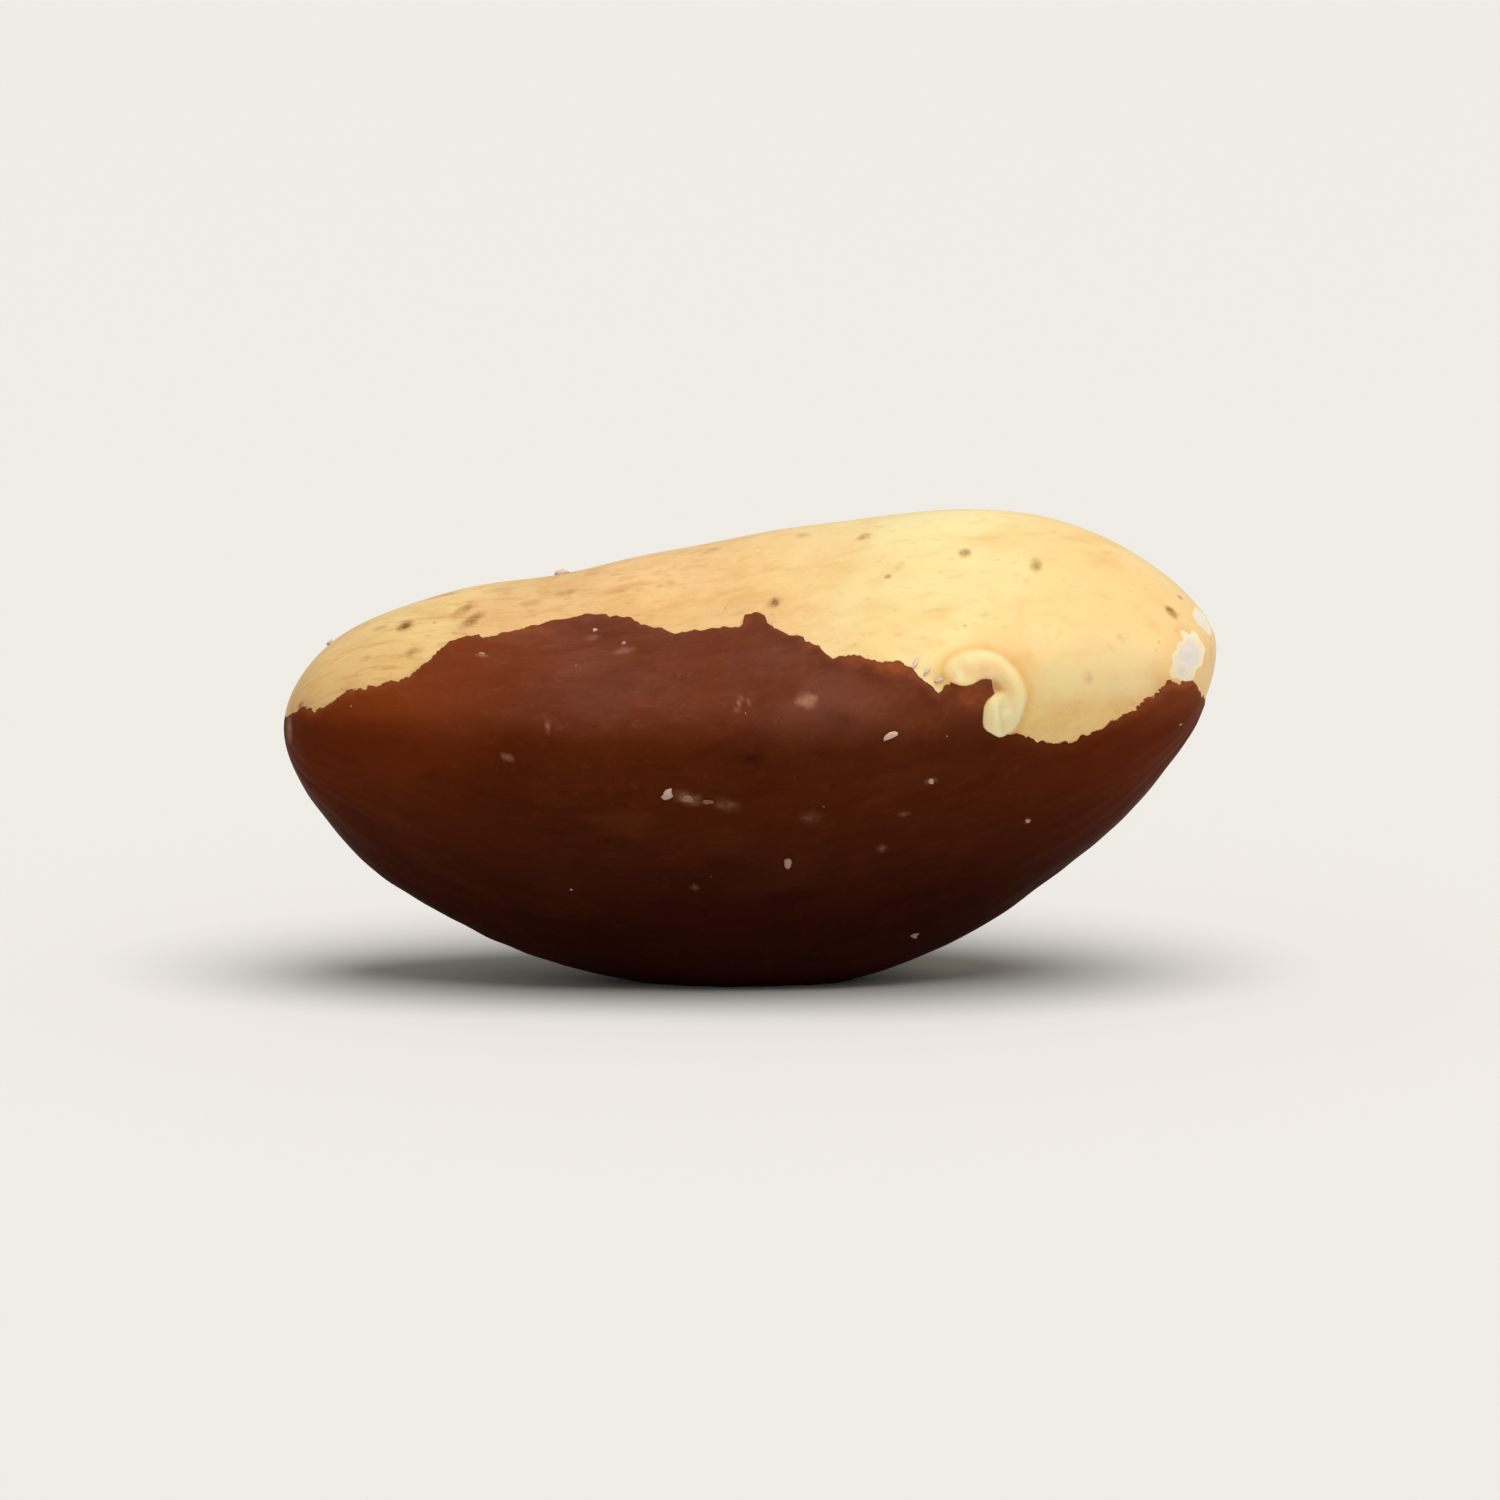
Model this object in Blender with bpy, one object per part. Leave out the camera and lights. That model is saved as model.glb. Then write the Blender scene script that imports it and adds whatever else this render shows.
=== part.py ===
# A shelled Brazil nut: one kernel with part of its brown skin still on it.
#
# The kernel grew as one piece, so it is one closed solid. It is a loft of rounded
# three-sided sections along X, between outlines seen from the front and from above.
# The skin stands above the flesh by its own thickness, up to a ragged edge.
# +X points to the blunt end, -Y to the front ridge, +Z up. The kernel lies on a
# small flat spot of its belly, with the origin below the middle of its box.
#
# Sizes are in millimetres and angles in degrees until the mesh is made.

import bmesh
import bpy
import numpy as np

MM = 0.001
HALF_LENGTH = 18.4

# The four outlines at seven stations. A station is a share of the half length, from
# the narrow tip at -1 to the blunt tip at 1. Heights and depths are from the middle.
STATIONS = np.array([-0.9, -0.6, -0.3, 0.0, 0.3, 0.6, 0.9])
CREST_Z = np.array([4.1, 5.95, 6.36, 7.2, 8.96, 8.96, 6.47])
BELLY_Z = np.array([-3.1, -7.55, -9.15, -9.93, -9.42, -5.97, -0.85])
FRONT_Y = np.array([-4.6, -7.0, -7.9, -8.3, -8.3, -7.4, -5.0])
BACK_Y = np.array([2.2, 5.2, 7.0, 7.7, 7.6, 6.1, 2.6])
NARROW_TIP = {"y": -1.4, "z": 0.7}
BLUNT_TIP = {"y": -1.4, "z": 3.7}
OUTLINE_DEGREE = 4

# The flat sides of the section: the turn that each one faces, from straight up over
# the front, and its distance from the middle as a share of the half size.
SIDES = {
    "upper front": (26.0, 0.60),
    "lower front": (122.0, 0.66),
    "belly": (188.0, 0.90),
    "lower back": (230.0, 0.95),
    "back": (280.0, 0.86),
    "crest": (330.0, 0.98),
}
CORNER_SHARPNESS = 4.0
TIP_ROUNDING = 5

# Unevenness of the flesh: wavelength, height and random seed of each set of waves.
LUMPS = ((16.0, 0.13, 0), (5.5, 0.04, 1))
WAVES_IN_SET = 12

# Shallow hollows: station, turn, radius and depth.
HOLLOWS = (
    (-0.42, 36.0, 3.5, 0.16),
    (0.30, 122.0, 5.5, 0.25),
    (-0.10, 262.0, 4.5, 0.25),
    (0.55, 235.0, 3.5, 0.20),
)

# A chip off the blunt tip, where the flesh is broken: station, turn, radius, depth.
CHIP = (0.945, 72.0, 1.1, 0.3)

# The skin covers the belly up to its edge. On the front the edge is a line of x and
# height as seen from a little above, on the back a line of x and height as seen level.
# One line gives way to the other between two depths behind the middle, where the
# flesh is bare anyway. Next to each tip the skin thins out to nothing, over a share of
# the half length.
SKIN_THICKNESS = 0.18
SKIN_EDGE_WIDTH = 0.25
SKIN_THINS_OUT = 0.06
SEEN_FROM_ABOVE = 9.0
LEAST_STEEPNESS = 0.35
FRONT_EDGE = (
    (-18.5, 0.9),
    (-17.4, 1.4),
    (-16.3, 2.1),
    (-14.9, 2.35),
    (-13.6, 2.9),
    (-12.2, 3.85),
    (-9.8, 4.6),
    (-6.2, 5.25),
    (-3.8, 4.75),
    (-2.5, 4.65),
    (-0.4, 4.95),
    (0.2, 5.5),
    (0.9, 4.8),
    (1.9, 4.5),
    (3.4, 3.4),
    (4.3, 3.55),
    (6.2, 3.2),
    (6.9, 2.2),
    (8.0, 2.35),
    (9.5, 2.3),
    (9.65, 1.2),
    (10.1, 0.4),
    (11.7, 0.0),
    (12.8, 0.1),
    (13.9, 0.5),
    (16.0, 1.7),
    (16.6, 2.5),
    (17.4, 2.75),
    (18.5, 2.5),
)
BACK_EDGE = (
    (-18.5, 1.2),
    (-15.0, 1.6),
    (-11.0, 3.4),
    (-8.0, 2.7),
    (-3.5, 4.3),
    (0.0, 3.9),
    (4.0, 5.6),
    (7.5, 3.9),
    (10.5, 4.4),
    (14.0, 2.6),
    (18.5, 2.0),
)
BACK_BEGINS = (1.5, 4.5)

# Waves that make the edge ragged, and longer ones for the islands and windows below:
# wavelength, reach and random seed.
EDGE_WAVES = ((1.7, 0.10, 20), (1.1, 0.07, 21))
PATCH_WAVES = (2.4, 0.35, 23)

# Islands of skin left on bare flesh and windows worn through the skin: station,
# turn, radius, and how much longer than wide.
ISLANDS = (
    (0.42, -52.0, 1.2, 1.9),
    (-0.52, -60.0, 0.8, 1.6),
)
WINDOWS = (
    (-0.30, 248.0, 1.9, 1.7),
    (0.40, 206.0, 1.2, 1.5),
    (0.62, 262.0, 1.0, 2.0),
)

# The flat spot that the kernel lies on is this far above its lowest point.
FLAT_DEPTH = 0.42

# The mesh: columns round the kernel and rows along it, and how far the rows are
# drawn from the tips to the middle to even out their spacing.
COLUMNS = 82
ROWS = 60
EVEN_ROWS = 0.35

FLESH = {"colour": (0.90, 0.68, 0.34), "roughness": 0.42}
SKIN = {"colour": (0.115, 0.030, 0.012), "roughness": 0.58}


def outline(heights, narrow, blunt, station):
    """A line from tip to tip, and a bulge on it that closes as an ellipse does."""

    def tip_line(share):
        return narrow + (blunt - narrow) * (share + 1) / 2

    fullness = (heights - tip_line(STATIONS)) / np.sqrt(1 - STATIONS**2)
    curve = np.polynomial.Polynomial.fit(STATIONS, fullness, OUTLINE_DEGREE)
    bulge = curve(station) * np.sqrt(np.maximum(0, 1 - station**2))
    return tip_line(station) + bulge


def section(station, turn):
    """Depth and height of the section at a turn, each from -1 to 1.

    The sides add up as powers, which rounds the corners where they meet. Towards the
    tips the section turns into a circle."""

    def rounded(angle):
        total = 0
        for facing, distance in SIDES.values():
            share = np.cos(angle - np.radians(facing)) / distance
            total = total + np.maximum(0, share) ** CORNER_SHARPNESS
        reach = total ** (-1 / CORNER_SHARPNESS)
        return np.stack([-np.sin(angle) * reach, np.cos(angle) * reach], axis=-1)

    whole = rounded(np.linspace(0, 2 * np.pi, 3600))
    low, high = whole.min(axis=0), whole.max(axis=0)
    cornered = (2 * rounded(turn) - low - high) / (high - low)
    circle = np.stack([-np.sin(turn), np.cos(turn)], axis=-1)
    roundness = np.abs(station)[..., None] ** TIP_ROUNDING
    return cornered + (circle - cornered) * roundness


def loft(station, turn):
    """Points of the smooth kernel, from a station and a turn in radians."""
    crest = outline(CREST_Z, NARROW_TIP["z"], BLUNT_TIP["z"], station)
    belly = outline(BELLY_Z, NARROW_TIP["z"], BLUNT_TIP["z"], station)
    front = outline(FRONT_Y, NARROW_TIP["y"], BLUNT_TIP["y"], station)
    back = outline(BACK_Y, NARROW_TIP["y"], BLUNT_TIP["y"], station)
    depth, height = np.moveaxis(section(station, turn), -1, 0)
    x = station * HALF_LENGTH
    y = (back + front) / 2 + (back - front) / 2 * depth
    z = (crest + belly) / 2 + (crest - belly) / 2 * height
    return np.stack([x, y, z], axis=-1)


def place_on(station, turn_degrees):
    return loft(np.array(station), np.radians(turn_degrees))


def waves(points, wavelength, height, seed):
    """Smooth unevenness: plane waves of one length that cross in random directions."""
    draw = np.random.default_rng(seed)
    directions = draw.normal(size=(3, WAVES_IN_SET))
    directions /= np.linalg.norm(directions, axis=0)
    phases = draw.uniform(0, 2 * np.pi, WAVES_IN_SET)
    total = np.sin(points @ directions * (2 * np.pi / wavelength) + phases).sum(axis=-1)
    return height * total * np.sqrt(2 / WAVES_IN_SET)


def ease(share):
    share = np.clip(share, 0, 1)
    return share * share * (3 - 2 * share)


def skin_depth(points, normals):
    """How far inside the skin's edge each point lies; below 0 it is bare flesh."""
    tilt = np.radians(SEEN_FROM_ABOVE)
    seen_up = np.array([0, np.sin(tilt), np.cos(tilt)])
    front = np.interp(points[:, 0], *zip(*FRONT_EDGE)) - points @ seen_up
    back = np.interp(points[:, 0], *zip(*BACK_EDGE)) - points[:, 2]

    begins, ends = BACK_BEGINS
    depth = front + (back - front) * ease((points[:, 1] - begins) / (ends - begins))

    # Where the surface looks up, a step in height is a longer step along it.
    steepness = np.sqrt(1 - (normals @ seen_up) ** 2)
    depth = depth / np.maximum(steepness, LEAST_STEEPNESS)

    ragged = waves(points, *PATCH_WAVES)
    for station, facing, radius, stretch in ISLANDS:
        away = (points - place_on(station, facing)) / (stretch, 1, 1)
        depth = np.maximum(depth, radius - np.linalg.norm(away, axis=1) + ragged)
    for station, facing, radius, stretch in WINDOWS:
        away = (points - place_on(station, facing)) / (stretch, 1, 1)
        depth = np.minimum(depth, np.linalg.norm(away, axis=1) - radius + ragged)
    for wavelength, reach, seed in EDGE_WAVES:
        depth = depth + waves(points, wavelength, reach, seed)
    return depth


def relief(points, depth):
    """Height above the smooth kernel: lumps, hollows, the chip and the skin."""
    from_tip = 1 - np.abs(points[:, 0]) / HALF_LENGTH
    thickness = SKIN_THICKNESS * ease(from_tip / SKIN_THINS_OUT)
    height = thickness * ease(depth / SKIN_EDGE_WIDTH + 0.5)
    for wavelength, size, seed in LUMPS:
        height = height + waves(points, wavelength, size, seed)
    for station, facing, radius, pressed in HOLLOWS + (CHIP,):
        away = np.linalg.norm(points - place_on(station, facing), axis=1)
        height = height - pressed * np.exp(-((away / radius) ** 2))
    return height


def stand(points):
    """Cuts the flat spot and moves the kernel onto it, centred over the origin."""
    lowest, highest = points.min(axis=0), points.max(axis=0)
    floor = lowest[2] + FLAT_DEPTH
    middle = (lowest + highest) / 2
    points[:, 2] = np.maximum(points[:, 2], floor)
    return points - (middle[0], middle[1], floor)


def move_vertices(shape, points):
    for vertex, point in zip(shape.verts, points):
        vertex.co = point * MM
    shape.normal_update()


def kernel_mesh():
    """A sphere whose poles become the tips, moved onto the loft and then roughened."""
    shape = bmesh.new()
    bmesh.ops.create_uvsphere(shape, u_segments=COLUMNS, v_segments=ROWS, radius=1)
    sphere = np.array([vertex.co for vertex in shape.verts])
    along = np.arccos(np.clip(sphere[:, 2], -1, 1))
    station = np.cos(along + EVEN_ROWS * np.sin(2 * along) / 2)
    turn = np.arctan2(-sphere[:, 0], sphere[:, 1])

    points = loft(station, turn)
    move_vertices(shape, points)
    normals = np.array([vertex.normal for vertex in shape.verts])
    depth = skin_depth(points, normals)
    points = points + normals * relief(points, depth)[:, None]
    move_vertices(shape, stand(points))

    for face in shape.faces:
        corners = [vertex.index for vertex in face.verts]
        face.material_index = int(depth[corners].mean() > 0)
        face.smooth = True
    bmesh.ops.triangulate(shape, faces=shape.faces)
    mesh = bpy.data.meshes.new("kernel")
    shape.to_mesh(mesh)
    shape.free()
    return mesh


def surface(name, colour, roughness):
    material = bpy.data.materials.new(name)
    material.use_nodes = True
    shader = material.node_tree.nodes["Principled BSDF"]
    shader.inputs["Base Color"].default_value = (*colour, 1)
    shader.inputs["Roughness"].default_value = roughness
    shader.inputs["Metallic"].default_value = 0
    return material


def main():
    for old in list(bpy.data.objects):
        bpy.data.objects.remove(old)
    nut = bpy.data.collections.new("brazil_nut")
    bpy.context.scene.collection.children.link(nut)
    kernel = bpy.data.objects.new("kernel", kernel_mesh())
    kernel.data.materials.append(surface("flesh", **FLESH))
    kernel.data.materials.append(surface("skin", **SKIN))
    nut.objects.link(kernel)


main()
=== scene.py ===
import math

import bpy
import numpy as np
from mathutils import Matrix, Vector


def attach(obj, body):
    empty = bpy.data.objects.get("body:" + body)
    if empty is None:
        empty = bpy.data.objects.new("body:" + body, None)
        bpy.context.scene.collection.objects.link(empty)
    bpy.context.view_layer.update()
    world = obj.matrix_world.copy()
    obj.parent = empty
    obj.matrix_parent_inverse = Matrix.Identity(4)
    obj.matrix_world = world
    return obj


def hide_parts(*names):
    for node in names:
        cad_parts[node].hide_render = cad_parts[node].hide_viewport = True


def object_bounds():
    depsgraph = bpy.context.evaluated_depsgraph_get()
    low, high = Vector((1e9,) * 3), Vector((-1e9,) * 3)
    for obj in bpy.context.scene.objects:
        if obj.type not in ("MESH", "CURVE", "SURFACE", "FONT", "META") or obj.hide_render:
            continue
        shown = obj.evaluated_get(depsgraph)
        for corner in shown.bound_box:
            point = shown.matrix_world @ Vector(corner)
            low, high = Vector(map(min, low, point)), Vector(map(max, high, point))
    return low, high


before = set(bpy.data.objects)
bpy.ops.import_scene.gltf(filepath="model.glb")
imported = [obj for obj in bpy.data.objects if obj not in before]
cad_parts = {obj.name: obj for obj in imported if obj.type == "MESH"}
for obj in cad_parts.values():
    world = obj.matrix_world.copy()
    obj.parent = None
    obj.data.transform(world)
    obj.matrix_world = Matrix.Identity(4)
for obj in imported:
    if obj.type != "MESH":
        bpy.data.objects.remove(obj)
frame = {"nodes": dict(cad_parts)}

cadBox = [list(corner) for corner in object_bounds()]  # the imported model's box, before anything is dressed
print("frame loaded:", ", ".join(frame["nodes"]))

# A shelled Brazil nut kernel: oily cream flesh, bare above, and the thin brown seed coat still on it below.
# Shapes are in millimetres and degrees until a mesh is made. The kernel is a grid, with a row for each step
# from the narrow tip to the blunt one and a column for each step round it, so a quantity is an array over it.
mm = 0.001

kernelForm = {
    "halfLength": 18.4,
    "stations": (-0.9, -0.6, -0.3, 0.0, 0.3, 0.6, 0.9),  # shares of the half length, narrow tip to blunt
    "crestZ": (4.1, 5.95, 6.36, 7.2, 8.96, 8.96, 6.47),  # the four outlines at those stations
    "bellyZ": (-3.1, -7.55, -9.15, -9.93, -9.42, -5.97, -0.85),
    "frontY": (-4.6, -7.0, -7.9, -8.3, -8.3, -7.4, -5.0),
    "backY": (2.2, 5.2, 7.0, 7.7, 7.6, 6.1, 2.6),
    "tipsY": (-1.4, -1.4),
    "tipsZ": (0.7, 3.7),
    "outlineDegree": 4,
    # flat sides of the section: the turn each faces, from straight up over the front, and its distance
    "sides": ((26.0, 0.60), (122.0, 0.66), (188.0, 0.90), (230.0, 0.95), (280.0, 0.86), (330.0, 0.98)),
    "cornerSharpness": 4.0,
    "tipRounding": 5,
    "sectionSteps": 3600,  # round the section, to measure it
    "lumps": ((16.0, 0.13, 0), (5.5, 0.04, 1)),  # wavelength, height, seed
    "hollows": (  # station, turn, radius, depth
        (-0.42, 36.0, 3.5, 0.16),
        (0.30, 122.0, 5.5, 0.25),
        (-0.10, 262.0, 4.5, 0.25),
        (0.55, 235.0, 3.5, 0.20),
    ),
    "flatDepth": 0.42,  # the flat spot's height above the lowest point
    "columns": 320,
    "rows": 300,
    "evenRows": 0.35,  # draws rows from the tips to the middle
    "drawnColumns": 0.3,  # draws columns to the two edges of the coat, at this turn and the opposite one
    "drawnTo": 75.0,
}
wavesInSet = 12


# A line from tip to tip, plus a curve times sqrt(1 - station^2), which closes it as an ellipse closes.
def outlineAt(values, tips, station):
    stations = np.array(kernelForm["stations"])
    tipLine = np.polynomial.Polynomial([sum(tips) / 2, (tips[1] - tips[0]) / 2])
    fullness = (np.array(values) - tipLine(stations)) / np.sqrt(1 - stations**2)
    curve = np.polynomial.Polynomial.fit(stations, fullness, kernelForm["outlineDegree"])
    return tipLine(station) + curve(station) * np.sqrt(np.maximum(0, 1 - station**2))


# Each side adds (cos of the angle to it / its distance)^sharpness, and the reach is that sum^(-1/sharpness).
def corneredReach(turn):
    sharpness = kernelForm["cornerSharpness"]
    total = 0
    for facing, distance in kernelForm["sides"]:
        total = total + np.maximum(0, np.cos(turn - np.radians(facing)) / distance) ** sharpness
    reach = total ** (-1 / sharpness)
    return np.stack([-np.sin(turn) * reach, np.cos(turn) * reach], axis=-1)


# The cornered section scaled to -1..1 both ways, and eased into a circle towards the tips.
def sectionAt(station, turn):
    whole = corneredReach(np.linspace(0, 2 * np.pi, kernelForm["sectionSteps"]))
    low, high = whole.min(axis=0), whole.max(axis=0)
    cornered = (2 * corneredReach(turn) - low - high) / (high - low)
    circle = np.stack([-np.sin(turn), np.cos(turn)], axis=-1)
    roundness = np.abs(station)[..., None] ** kernelForm["tipRounding"]
    return cornered + (circle - cornered) * roundness


# The section, moved and stretched at each station to meet the four outlines.
def smoothKernel(station, turn):
    form = kernelForm
    crest = outlineAt(form["crestZ"], form["tipsZ"], station)
    belly = outlineAt(form["bellyZ"], form["tipsZ"], station)
    front = outlineAt(form["frontY"], form["tipsY"], station)
    back = outlineAt(form["backY"], form["tipsY"], station)
    depth, height = np.moveaxis(sectionAt(station, turn), -1, 0)
    y = (back + front) / 2 + (back - front) / 2 * depth
    z = (crest + belly) / 2 + (crest - belly) / 2 * height
    return np.stack([station * form["halfLength"] + 0 * turn, y, z], axis=-1)


# The smooth kernel's point at one station and one turn.
def placeOn(station, turnDegrees):
    return smoothKernel(np.array(station), np.radians(turnDegrees))


# The sum of plane waves of one length that cross in random directions, scaled so that its root mean square
# is the height.
def waves(points, wavelength, height, seed):
    draw = np.random.default_rng(seed)
    directions = draw.normal(size=(3, wavesInSet))
    directions /= np.linalg.norm(directions, axis=0)
    phases = draw.uniform(0, 2 * np.pi, wavesInSet)
    total = np.sin(points @ directions * (2 * np.pi / wavelength) + phases).sum(axis=-1)
    return height * total * np.sqrt(2 / wavesInSet)


# 3s^2 - 2s^3 between 0 and 1
def ease(share):
    share = np.clip(share, 0, 1)
    return share * share * (3 - 2 * share)


# Stations go as the cosine of even steps, evened out; turns go round, drawn to the coat's edges by a sine.
def gridSteps():
    form = kernelForm
    along = np.linspace(np.pi, 0, form["rows"] + 1)[:, None]
    station = np.cos(along + form["evenRows"] * np.sin(2 * along) / 2)
    around = np.linspace(0, 2 * np.pi, form["columns"], endpoint=False)[None, :]
    turn = around + form["drawnColumns"] / 2 * np.sin(2 * (around - np.radians(form["drawnTo"])))
    return np.broadcast_arrays(station, turn)


# Outward normals of a grid: the step round it times the step along it.
def gridNormals(points):
    along = np.gradient(points, axis=0)
    around = np.roll(points, -1, axis=1) - np.roll(points, 1, axis=1)
    normals = np.cross(around, along)
    normals[0], normals[-1] = (-1, 0, 0), (1, 0, 0)
    return normals / np.linalg.norm(normals, axis=-1, keepdims=True)


# Quads between the rings of a closed grid, and a fan of triangles onto each tip.
def gridFaces(rows, columns):
    ring = np.arange(1, (rows - 1) * columns + 1).reshape(rows - 1, columns)
    after = np.roll(ring, -1, axis=1)
    last = (rows - 1) * columns + 1
    quads = np.stack([ring[:-1], after[:-1], after[1:], ring[1:]], axis=-1).reshape(-1, 4)
    narrowFan = np.stack([0 * ring[0], after[0], ring[0]], axis=-1)
    bluntFan = np.stack([ring[-1], after[-1], 0 * ring[-1] + last], axis=-1)
    return quads.tolist() + narrowFan.tolist() + bluntFan.tolist()


# The rows of a closed grid as one list of points, with a single point for each tip.
def gridList(grid):
    return np.concatenate([grid[0, :1], grid[1:-1].reshape(-1, *grid.shape[2:]), grid[-1, :1]])


# The seed coat: where it ends, and how it stands above the flesh.
coatForm = {
    "thickness": 0.18,
    "edgeWidth": 0.18,
    "thinsOut": 0.06,  # to nothing at the tips, over this share of the half length
    "lip": (0.045, 0.30, 0.22),  # the torn edge curls up: height, distance inside the edge, width
    "seenFromAbove": 9.0,  # the tilt at which the front edge's heights are read
    "frontFacing": 0.3,  # what has its normal's y below this can be seen from there
    "leastSteepness": 0.35,
    "outlineMiddle": -0.24,  # the middle of the outline seen at that tilt, which heights are taken from
    "frontEdge": (  # x and height
        (-18.5, 0.9), (-17.6, 1.55), (-17.2, 1.25), (-16.4, 1.65), (-15.8, 2.2), (-15.0, 2.2), (-13.5, 2.6),
        (-13.0, 3.0), (-12.6, 3.45), (-11.8, 4.25), (-11.2, 4.47), (-10.2, 4.5), (-9.3, 4.77), (-8.0, 5.1),
        (-6.2, 5.3), (-4.7, 5.12), (-4.3, 4.85), (-3.6, 4.72), (-2.8, 4.52), (-1.9, 4.6), (-0.3, 4.62),
        (-0.1, 5.18), (0.6, 5.15), (0.8, 4.7), (1.3, 4.4), (2.1, 4.22), (2.8, 3.8), (3.3, 3.32), (4.4, 3.4),
        (4.8, 3.2), (5.9, 3.16), (6.4, 2.95), (6.8, 2.5), (7.4, 1.95), (8.0, 2.5), (9.5, 2.5), (9.7, 1.1),
        (9.9, 0.25), (10.8, 0.16), (11.5, -0.12), (12.7, -0.02), (13.2, 0.25), (14.0, 0.65), (15.2, 1.3),
        (16.0, 1.8), (16.6, 2.4), (17.5, 2.4), (17.9, 1.8), (18.5, 1.1),
    ),
    "backEdge": (
        (-18.5, 1.2), (-15.0, 1.6), (-11.0, 3.4), (-8.0, 2.7), (-3.5, 4.3), (0.0, 3.9), (4.0, 5.6),
        (7.5, 3.9), (10.5, 4.4), (14.0, 2.6), (18.5, 2.0),
    ),
    "backBegins": (1.5, 4.5),  # depths between which the back edge takes over
    "edgeWaves": ((0.9, 0.035, 21), (0.4, 0.05, 22)),  # wavelength, reach, seed
    "backWaves": (1.9, 0.20, 20),
    "patchWaves": (2.4, 0.35, 23),
    "islands": ((0.42, -52.0, 1.2, 1.9), (-0.52, -60.0, 0.8, 1.6)),  # station, turn, radius, stretch
    "windows": ((-0.30, 248.0, 1.9, 1.7), (0.40, 206.0, 1.2, 1.5), (0.62, 262.0, 1.0, 2.0)),
    "grainRadius": 8.0,
    "ribs": ((2.2, 0.009, 30, 9.0), (0.9, 0.006, 31, 6.0)),  # spacing, height, seed, how much longer
    "dimples": (1.4, 0.008, 32),
}


# The upward direction of that view: the sine of its tilt along y and the cosine along z.
def seenUp():
    tilt = math.radians(coatForm["seenFromAbove"])
    return np.array([0, math.sin(tilt), math.cos(tilt)])


# How high a point is seen: the part of its place along the view's upward direction, less that of the
# outline's middle.
def seenHeight(points):
    return points @ seenUp() - coatForm["outlineMiddle"]


# How far inside the coat's edge a point lies: the edge's height less that of the coat's outside there, over
# the slope of the surface, less half the step's width. It is then joined with the islands, cut by the
# windows and made ragged by waves. Below 0 the flesh is bare.
def coatDepthAt(points, normals):
    form = coatForm
    outside = points + normals * form["thickness"]
    front = np.interp(points[..., 0], *zip(*form["frontEdge"])) - seenHeight(outside)
    back = np.interp(points[..., 0], *zip(*form["backEdge"])) - points[..., 2]
    back = back + waves(points, *form["backWaves"])
    begins, ends = form["backBegins"]
    depth = front + (back - front) * ease((points[..., 1] - begins) / (ends - begins))
    steepness = np.sqrt(1 - (normals @ seenUp()) ** 2)
    depth = depth / np.maximum(steepness, form["leastSteepness"]) - form["edgeWidth"] / 2
    ragged = waves(points, *form["patchWaves"])
    for station, facing, radius, stretch in form["islands"]:
        away = (points - placeOn(station, facing)) / (stretch, 1, 1)
        depth = np.maximum(depth, radius - np.linalg.norm(away, axis=-1) + ragged)
    for station, facing, radius, stretch in form["windows"]:
        away = (points - placeOn(station, facing)) / (stretch, 1, 1)
        depth = np.minimum(depth, np.linalg.norm(away, axis=-1) - radius + ragged)
    for wavelength, reach, seed in form["edgeWaves"]:
        depth = depth + waves(points, wavelength, reach, seed)
    return depth


# Coordinates that follow the growth: x along the kernel, and the turn laid on a circle, so that a pattern
# stretched along x runs from tip to tip and closes in there.
def grainAt(points, turn):
    radius = coatForm["grainRadius"]
    return np.stack([points[..., 0], -np.sin(turn) * radius, np.cos(turn) * radius], axis=-1)


# The coat's height above the flesh: a step at its edge, a lip inside it, then ribs along it and dimples.
def coatHeightAt(points, depth, grain):
    form = coatForm
    lipHeight, lipInside, lipWidth = form["lip"]
    step = form["thickness"] * ease(depth / form["edgeWidth"] + 0.5)
    height = step + lipHeight * np.exp(-(((depth - lipInside) / lipWidth) ** 2))
    cover = ease(depth / lipInside)
    for spacing, size, seed, longer in form["ribs"]:
        height = height + cover * waves(grain / (longer, 1, 1), spacing, size, seed)
    height = height + cover * waves(points, *form["dimples"])
    fromTip = 1 - np.abs(points[..., 0]) / kernelForm["halfLength"]
    return height * ease(fromTip / form["thinsOut"])


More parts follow.
